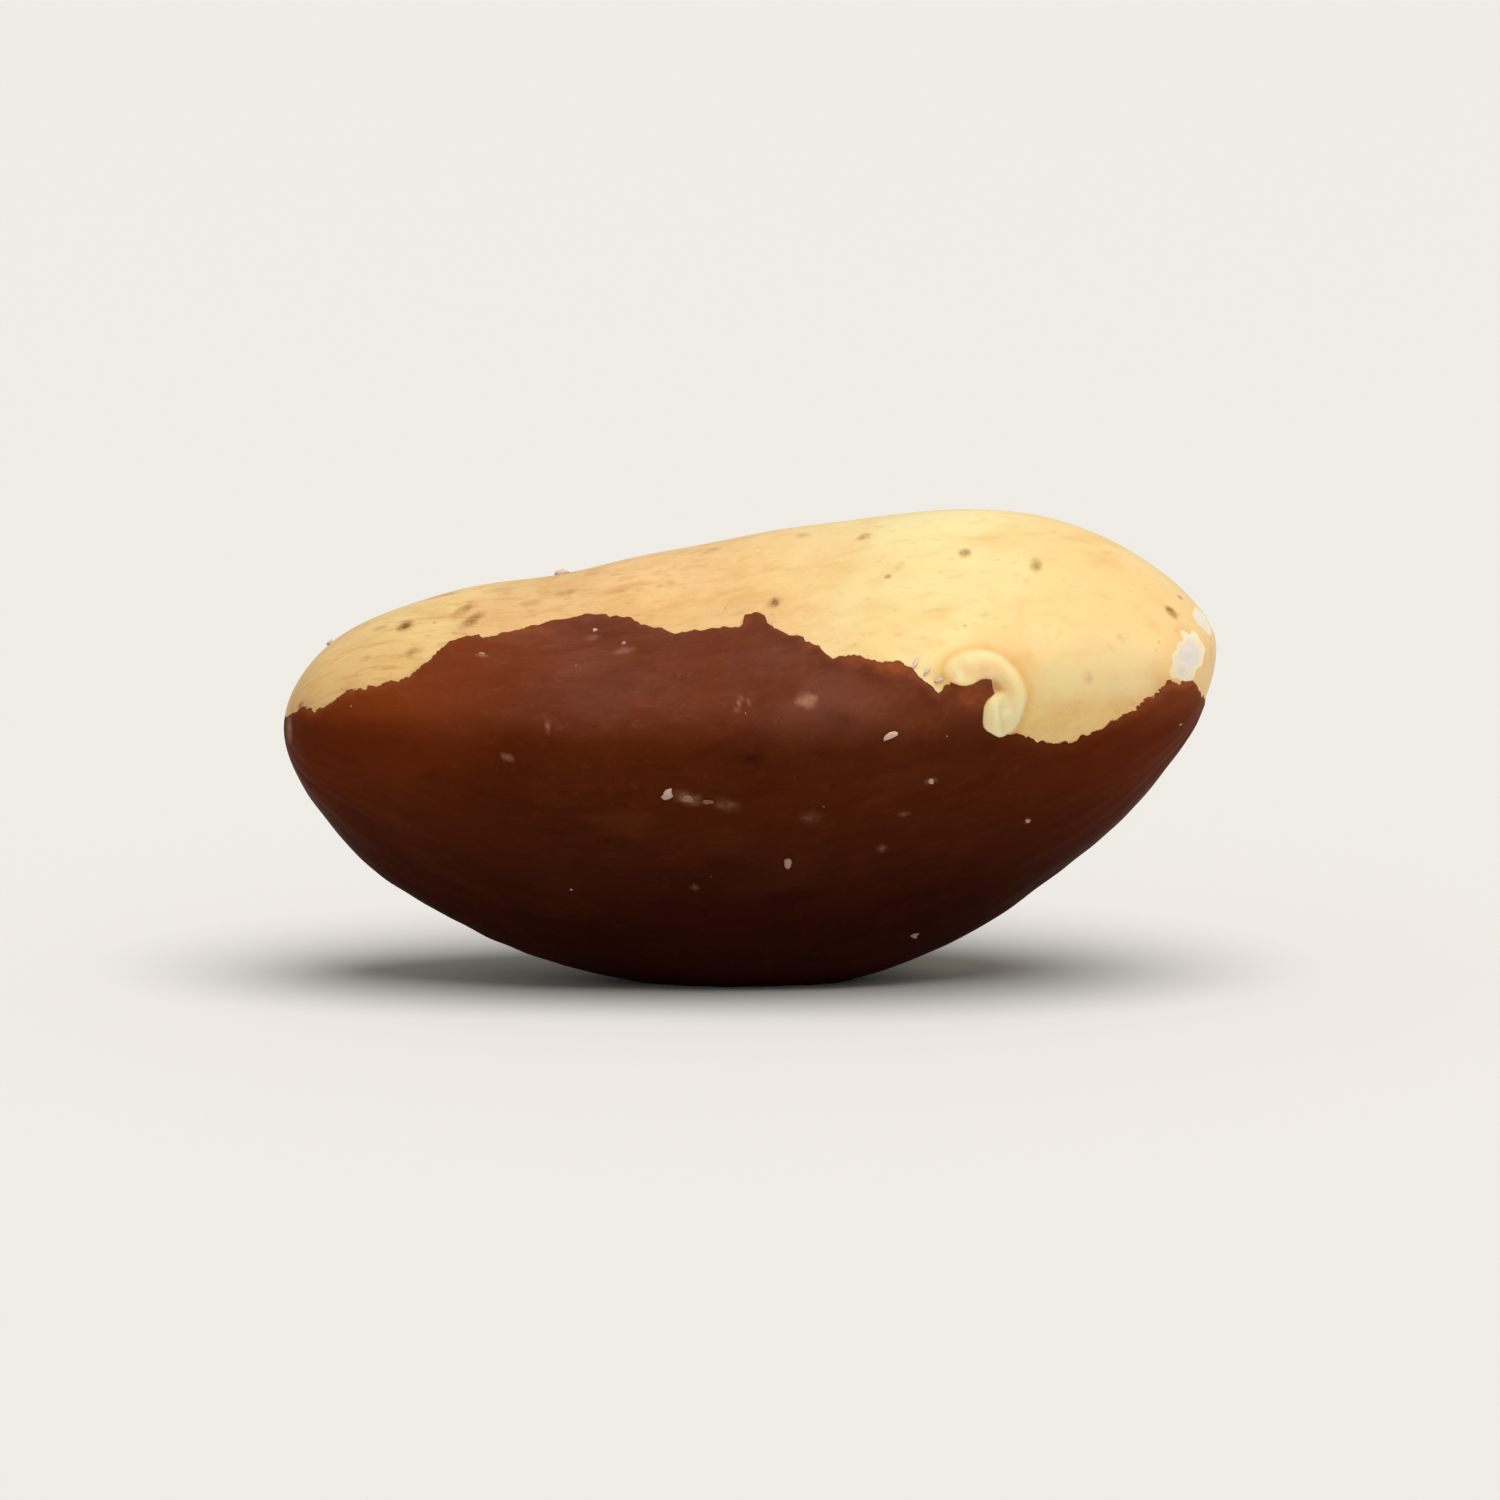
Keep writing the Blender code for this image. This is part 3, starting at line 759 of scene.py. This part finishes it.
# One material for flesh and coat, so that the edge between them is only a place on the surface.
def kernelMaterial():
    material = bpy.data.materials.new("oilyFleshAndSeedCoat")
    material.use_nodes = True
    tree = material.node_tree
    shader = tree.nodes["Principled BSDF"]
    # settings that many nodes share
    soft = {"interpolation_type": "SMOOTHSTEP"}
    blend = {"gives": 2, "data_type": "RGBA"}
    darken = {**blend, "blend_type": "MULTIPLY"}
    times = {"operation": "MULTIPLY"}
    half = kernelForm["halfLength"]

    place = addNode(tree, "TexCoord", {}, gives="Object")
    place = addNode(tree, "Mapping", {"Vector": place, "Scale": (1 / mm, 1 / mm, 1 / mm)})
    x = addNode(tree, "SeparateXYZ", {0: place}, gives="X")
    y = addNode(tree, "SeparateXYZ", {0: place}, gives="Y")
    z = addNode(tree, "SeparateXYZ", {0: place}, gives="Z")
    grain = addNode(tree, "Attribute", {}, gives="Vector", attribute_name="grain")
    drawn = addNode(tree, "Mapping", {"Vector": grain, "Scale": (1 / coatLook["fibreLonger"], 1, 1)})
    grit = {"Vector": place, "Scale": 1 / reliefForm["grit"], **noises["grit"]}
    grit = addNode(tree, "TexNoise", grit)
    fibres = {"Vector": drawn, "Scale": 1 / coatLook["fibreSize"], **noises["fibres"]}
    fibres = addNode(tree, "TexNoise", fibres)

    # where the coat is: its depth, made more ragged by about a tenth of a millimetre
    depth = addNode(tree, "Attribute", {}, gives="Fac", attribute_name="coatDepth")
    ragged = {0: grit, 1: coatLook["ragged"], 2: -coatLook["ragged"] / 2}
    ragged = addNode(tree, "Math", ragged, operation="MULTIPLY_ADD")
    depth = addNode(tree, "Math", {0: depth, 1: ragged})
    thin, thick = coatLook["edgeFrom"]
    coated = addNode(tree, "MapRange", {0: depth, 1: thin, 2: thick}, **soft)

    # flesh: its colour along the kernel, mottled, with a band of painted light, and streaked, then veins,
    # flecks with a patch of painted shade, pin marks, painted shade beside the curl, the curl, and painted
    # light on the curl's lower end
    look = fleshLook
    wander = addNode(tree, "TexNoise", {"Vector": place, "Scale": 1 / look["wanderSize"]})
    wander = {0: wander, 1: look["wander"], 2: -look["wander"] / 2}
    wander = addNode(tree, "Math", wander, operation="MULTIPLY_ADD")
    wander = addNode(tree, "Math", {0: x, 1: wander})
    share = addNode(tree, "MapRange", {0: wander, 1: -half, 2: half})
    flesh = addNode(tree, "ValToRGB", {0: share})
    flesh.node.color_ramp.interpolation = "B_SPLINE"
    stops = flesh.node.color_ramp.elements
    stops[0].color = colour(look["along"][0][1])
    stops[1].color = colour(look["along"][-1][1])
    for alongX, tint in look["along"]:
        stops.new((alongX / half + 1) / 2).color = colour(tint)
    flesh = layColours(tree, flesh, place, look["layers"], "MULTIPLY")
    # painted light: a paler band on the front under the blunt end's shoulder, where the surface turns down
    pale = look["paintedLightShare"]
    for axis, edges in ((x, look["paintedLightX"]), (y, look["paintedLightY"]), (z, look["paintedLightZ"])):
        for begins, ends in edges:
            there = addNode(tree, "MapRange", {0: axis, 1: begins, 2: ends}, **soft)
            pale = addNode(tree, "Math", {0: there, 1: pale}, **times)
    flesh = addNode(tree, "Mix", {0: pale, 6: flesh, 7: look["pale"]}, **blend)
    begins, ends = look["streaksFrom"]
    streaked = addNode(tree, "MapRange", {0: x, 1: begins, 2: ends}, **soft)
    streaks = layColours(tree, flesh, grain, look["streaks"], "MULTIPLY")
    flesh = addNode(tree, "Mix", {0: streaked, 6: flesh, 7: streaks}, **blend)
    veins = {"Vector": drawn, "Scale": 1 / look["veinSize"], **noises["veins"]}
    veins = addNode(tree, "TexNoise", veins)
    veins = addNode(tree, "Math", {0: veins, 1: look["veinLevel"]}, operation="SUBTRACT")
    veins = addNode(tree, "Math", {0: veins}, operation="ABSOLUTE")
    veins = addNode(tree, "MapRange", {0: veins, 1: look["veinWidth"], 2: 0.0, 4: look["veinShare"]}, **soft)
    veins = addNode(tree, "Math", {0: veins, 1: streaked}, **times)
    flesh = addNode(tree, "Mix", {0: veins, 6: flesh, 7: look["vein"]}, **blend)
    begins, ends, least, most = finish["speckle"]
    speckle = addNode(tree, "MapRange", {0: grit, 1: begins, 2: ends, 3: least, 4: most}, **soft)
    flecksAndPaintedShade = addNode(tree, "Attribute", {}, gives="Fac", attribute_name="flecksAndPaintedShade")
    flecksAndPaintedShade = addNode(tree, "Math", {0: flecksAndPaintedShade, 1: speckle}, **times)
    flesh = addNode(tree, "Mix", {0: flecksAndPaintedShade, 6: flesh, 7: look["fleck"]}, **darken)
    pinPlace = {"Vector": place, "Scale": 1 / look["pinSpacing"]}
    pinDistance = addNode(tree, "TexVoronoi", pinPlace, gives="Distance")
    pinSize = addNode(tree, "TexVoronoi", pinPlace, gives="Color")
    pinSize = addNode(tree, "SeparateColor", {0: pinSize})
    pinSize = addNode(tree, "Math", {0: pinSize, 1: 2 * look["pinRadius"] / look["pinSpacing"]}, **times)
    pins = addNode(tree, "Math", {0: pinDistance, 1: pinSize}, operation="SUBTRACT")
    begins, ends = look["pinEdge"]
    pins = addNode(tree, "MapRange", {0: pins, 1: begins, 2: ends, 4: look["pinShare"]}, **soft)
    flesh = addNode(tree, "Mix", {0: pins, 6: flesh, 7: look["fleck"]}, **darken)
    curl = addNode(tree, "Attribute", {}, gives="Fac", attribute_name="curl")
    # painted shade beside the curl, over its groove
    begins, ends = look["paintedCurlShadeFrom"]
    paintedCurlShade = addNode(tree, "MapRange", {0: curl, 1: begins, 2: ends}, **soft)
    flesh = addNode(tree, "Mix", {0: paintedCurlShade, 6: flesh, 7: look["paintedCurlShade"]}, **darken)
    begins, ends = look["curlFrom"]
    curled = addNode(tree, "MapRange", {0: curl, 1: begins, 2: ends, 4: look["curlShare"]}, **soft)
    flesh = addNode(tree, "Mix", {0: curled, 6: flesh, 7: look["curl"]}, **blend)
    # painted light on the curl's lower end, which faces down
    begins, ends = look["curlPaintedLightFrom"]
    low = addNode(tree, "MapRange", {0: z, 1: begins, 2: ends}, **soft)
    low = addNode(tree, "Math", {0: curled, 1: low}, **times)
    flesh = addNode(tree, "Mix", {0: low, 6: flesh, 7: look["curlPaintedLight"]}, **blend)

    # coat: mottled brown with fibres, warmer by place, worn at the edge, with bloom and painted sheen up
    # high, painted shade below, then thin places, scuffs and stains
    look = coatLook
    coat = addNode(tree, "RGB", {})
    coat.default_value = colour(look["ground"])
    coat = layColours(tree, coat, grain, look["layers"], "MIX")
    begins, ends = look["warmAbove"]
    above = addNode(tree, "MapRange", {0: z, 1: begins, 2: ends, 4: look["warmShare"]}, **soft)
    for begins, ends in look["warmFrom"]:
        warm = addNode(tree, "MapRange", {0: x, 1: begins, 2: ends}, **soft)
        warm = addNode(tree, "Math", {0: warm, 1: above}, **times)
        coat = addNode(tree, "Mix", {0: warm, 6: coat, 7: look["warm"]}, **blend)
    worn = addNode(tree, "MapRange", {0: depth, 1: look["wornWidth"], 2: 0.0, 4: look["wornShare"]}, **soft)
    coat = addNode(tree, "Mix", {0: worn, 6: coat, 7: look["wornEdge"]}, **blend)
    # bloom and painted sheen: a pinkish haze over the coat's upper band, away from the narrow end
    bloomAndSheen = {"Vector": grain, "Scale": 1 / look["bloomAndSheenSize"], **noises["bloomAndSheen"]}
    bloomAndSheen = addNode(tree, "TexNoise", bloomAndSheen)
    begins, ends = look["bloomAndSheenFades"]
    bloomAndSheen = addNode(tree, "MapRange", {0: bloomAndSheen, 1: begins, 2: ends, 4: look["bloomAndSheenShare"]}, **soft)
    begins, ends = look["bloomAndSheenFrom"]
    high = addNode(tree, "MapRange", {0: z, 1: begins, 2: ends}, **soft)
    bloomAndSheen = addNode(tree, "Math", {0: bloomAndSheen, 1: high}, **times)
    begins, ends = look["bloomAndSheenAlong"]
    there = addNode(tree, "MapRange", {0: x, 1: begins, 2: ends}, **soft)
    bloomAndSheen = addNode(tree, "Math", {0: bloomAndSheen, 1: there}, **times)
    coat = addNode(tree, "Mix", {0: bloomAndSheen, 6: coat, 7: look["bloomAndSheen"]}, **blend)
    # painted shade: darker below the coat's upper band, and darker still towards the floor
    for shade in ("deep", "dark"):
        begins, ends = look[shade + "From"]
        low = addNode(tree, "MapRange", {0: z, 1: begins, 2: ends}, **soft)
        coat = addNode(tree, "Mix", {0: low, 6: coat, 7: look[shade]}, **darken)
    for mark in ("thin", "scuffs", "stains"):
        marked = addNode(tree, "Attribute", {}, gives="Fac", attribute_name=mark)
        marked = addNode(tree, "Math", {0: marked, 1: speckle}, **times)
        coat = addNode(tree, "Mix", {0: marked, 6: coat, 7: look[mark]}, **blend)

    # together, with the curl over the coat and the breaks over both
    begins, ends = fleshLook["curlCovers"]
    lying = addNode(tree, "MapRange", {0: curl, 1: ends, 2: begins}, **soft)
    coated = addNode(tree, "Math", {0: coated, 1: lying}, **times)
    surface = addNode(tree, "Mix", {0: coated, 6: flesh, 7: coat}, **blend)
    chip = addNode(tree, "Attribute", {}, gives="Fac", attribute_name="chip")
    begins, ends = chipLook["coreFrom"]
    core = addNode(tree, "MapRange", {0: chip, 1: begins, 2: ends}, **soft)
    broken = addNode(tree, "Mix", {0: core, 6: chipLook["rim"], 7: chipLook["core"]}, **blend)
    begins, ends = chipLook["shows"]
    chip = addNode(tree, "MapRange", {0: chip, 1: begins, 2: ends}, **soft)
    surface = addNode(tree, "Mix", {0: chip, 6: surface, 7: broken}, **blend)
    tree.links.new(surface, shader.inputs["Base Color"])

    drier = coatLook["roughness"] - fleshLook["roughness"]
    least = fleshLook["roughness"] - finish["roughnessRange"] / 2
    roughness = addNode(tree, "Math", {0: coated, 1: drier, 2: least}, operation="MULTIPLY_ADD")
    uneven = {0: grit, 1: finish["roughnessRange"], 2: roughness}
    roughness = addNode(tree, "Math", uneven, operation="MULTIPLY_ADD")
    tree.links.new(roughness, shader.inputs["Roughness"])
    bare = addNode(tree, "Math", {0: 1.0, 1: coated}, operation="SUBTRACT")
    tree.links.new(bare, shader.inputs["Subsurface Weight"])
    gleam = addNode(tree, "Math", {0: bare, 1: fleshLook["gleam"]}, **times)
    tree.links.new(gleam, shader.inputs["Coat Weight"])
    shader.inputs["Subsurface Radius"].default_value = fleshLook["lightGoesIn"]
    shader.inputs["Subsurface Scale"].default_value = finish["subsurface"] * mm
    shader.inputs["Specular IOR Level"].default_value = finish["specular"]
    shader.inputs["Coat Roughness"].default_value = finish["oilRoughness"]
    shader.inputs["Coat IOR"].default_value = finish["ior"]
    shader.inputs["IOR"].default_value = finish["ior"]

    # the relief is in mm, so a distance of one millimetre makes it true
    wrinkles = {"Vector": place, "Scale": 1 / reliefForm["wrinkleSize"], **noises["wrinkles"]}
    wrinkles = addNode(tree, "TexNoise", wrinkles)
    wrinkles = addNode(tree, "Math", {0: wrinkles, 1: reliefForm["wrinkles"]}, **times)
    strands = {0: fibres, 1: reliefForm["strands"], 2: wrinkles}
    skin = addNode(tree, "Math", strands, operation="MULTIPLY_ADD")
    skin = addNode(tree, "Math", {0: skin, 1: reliefForm["edge"]})
    pores = addNode(tree, "Math", {0: grit, 1: reliefForm["pores"]}, **times)
    relief = addNode(tree, "Math", {0: coated, 1: skin, 2: pores}, operation="MULTIPLY_ADD")
    bump = addNode(tree, "Bump", {"Height": relief, "Distance": mm, "Strength": 1.0})
    tree.links.new(bump, shader.inputs["Normal"])
    return material


# Dry crumbs of broken nut, mealy and with no gleam: some fresh and off-white, some stained by the coat.
crumbLook = {
    "stained": "#7c4e3a",
    "fresh": "#e4c8b6",
    "grit": 0.12,
    "gritHeight": 0.03,
    "roughness": 0.8,
    "specular": 0.25,
}


def crumbMaterial():
    look = crumbLook
    material = bpy.data.materials.new("dryNutCrumb")
    material.use_nodes = True
    tree = material.node_tree
    shader = tree.nodes["Principled BSDF"]
    place = addNode(tree, "TexCoord", {}, gives="Object")
    place = addNode(tree, "Mapping", {"Vector": place, "Scale": (1 / mm, 1 / mm, 1 / mm)})
    paleness = addNode(tree, "Attribute", {}, gives="Fac", attribute_name="paleness")
    tint = {0: paleness, 6: look["stained"], 7: look["fresh"]}
    tint = addNode(tree, "Mix", tint, gives=2, data_type="RGBA")
    tree.links.new(tint, shader.inputs["Base Color"])
    grit = addNode(tree, "TexNoise", {"Vector": place, "Scale": 1 / look["grit"], **noises["crumbs"]})
    bump = addNode(tree, "Bump", {"Height": grit, "Distance": look["gritHeight"] * mm})
    tree.links.new(bump, shader.inputs["Normal"])
    shader.inputs["Roughness"].default_value = look["roughness"]
    shader.inputs["Specular IOR Level"].default_value = look["specular"]
    return material


studio = {
    "floor": "#e9e6e0",
    "floorRoughness": 0.9,
    "floorHalf": 3.0,  # metres
    "sky": "#f6f4ef",
    "skyStrength": 0.32,
    "sunStrength": 2.65,
    "sunAngle": 55.0,  # how wide it is, which softens the shadow
    "sunFrom": (10.0, 16.0),  # turned about Y and X from straight above
    "elevation": 9.0,
    "distance": 0.60,  # metres
    "share": 0.62,  # of the frame's width that the kernel fills
    "sensor": 36.0,  # mm across
    "clip": (0.01, 10.0),  # metres
}


# A paper floor, an even sky, one wide soft lamp, and a camera tilted as the photo's was. Its lens is the
# sensor's width times the distance, over the width that the frame takes in.
def makeStudio():
    scene = bpy.context.scene
    lowest, highest = (np.array(corner) for corner in cadBox)
    middle = (lowest + highest) / 2

    half = studio["floorHalf"] / mm
    corners = np.array([(-half, -half, 0), (half, -half, 0), (half, half, 0), (-half, half, 0)])
    floor = addMesh("paleFloor", corners, [(0, 1, 2, 3)])
    paper = bpy.data.materials.new("mattePaper")
    paper.use_nodes = True
    shader = paper.node_tree.nodes["Principled BSDF"]
    shader.inputs["Base Color"].default_value = colour(studio["floor"])
    shader.inputs["Roughness"].default_value = studio["floorRoughness"]
    floor.data.materials.append(paper)

    world = bpy.data.worlds.new("paleSky")
    world.use_nodes = True
    background = world.node_tree.nodes["Background"]
    background.inputs["Color"].default_value = colour(studio["sky"])
    background.inputs["Strength"].default_value = studio["skyStrength"]
    scene.world = world

    lamp = bpy.data.lights.new("softbox", "SUN")
    lamp.energy = studio["sunStrength"]
    lamp.angle = math.radians(studio["sunAngle"])
    softbox = bpy.data.objects.new("softbox", lamp)
    turnY, turnX = studio["sunFrom"]
    softbox.rotation_euler = (math.radians(turnX), math.radians(turnY), 0)
    scene.collection.objects.link(softbox)

    tilt = math.radians(studio["elevation"])
    width = (highest[0] - lowest[0]) / studio["share"]
    lens = bpy.data.cameras.new("longLens")
    lens.sensor_width = studio["sensor"]
    lens.lens = lens.sensor_width * studio["distance"] / width
    lens.clip_start, lens.clip_end = studio["clip"]
    camera = bpy.data.objects.new("camera", lens)
    camera.location = middle + studio["distance"] * np.array([0, -math.cos(tilt), math.sin(tilt)])
    camera.rotation_euler = (math.pi / 2 - tilt, 0, 0)
    scene.collection.objects.link(camera)
    scene.camera = camera
    scene.view_settings.view_transform = "Standard"
    print("studio ready, lens", round(lens.lens), "mm")


makeStudio()
kernelPiece, surfacePoints, smoothPoints, surfaceNormals, coatDepths = makeKernel()
kernelPiece.data.materials.append(kernelMaterial())
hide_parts("kernel")
crumbPiece = makeCrumbs(surfacePoints, smoothPoints, surfaceNormals, coatDepths)
crumbPiece.data.materials.append(crumbMaterial())
for piece in (kernelPiece, crumbPiece):
    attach(piece, "root")

print("kernel dressed")
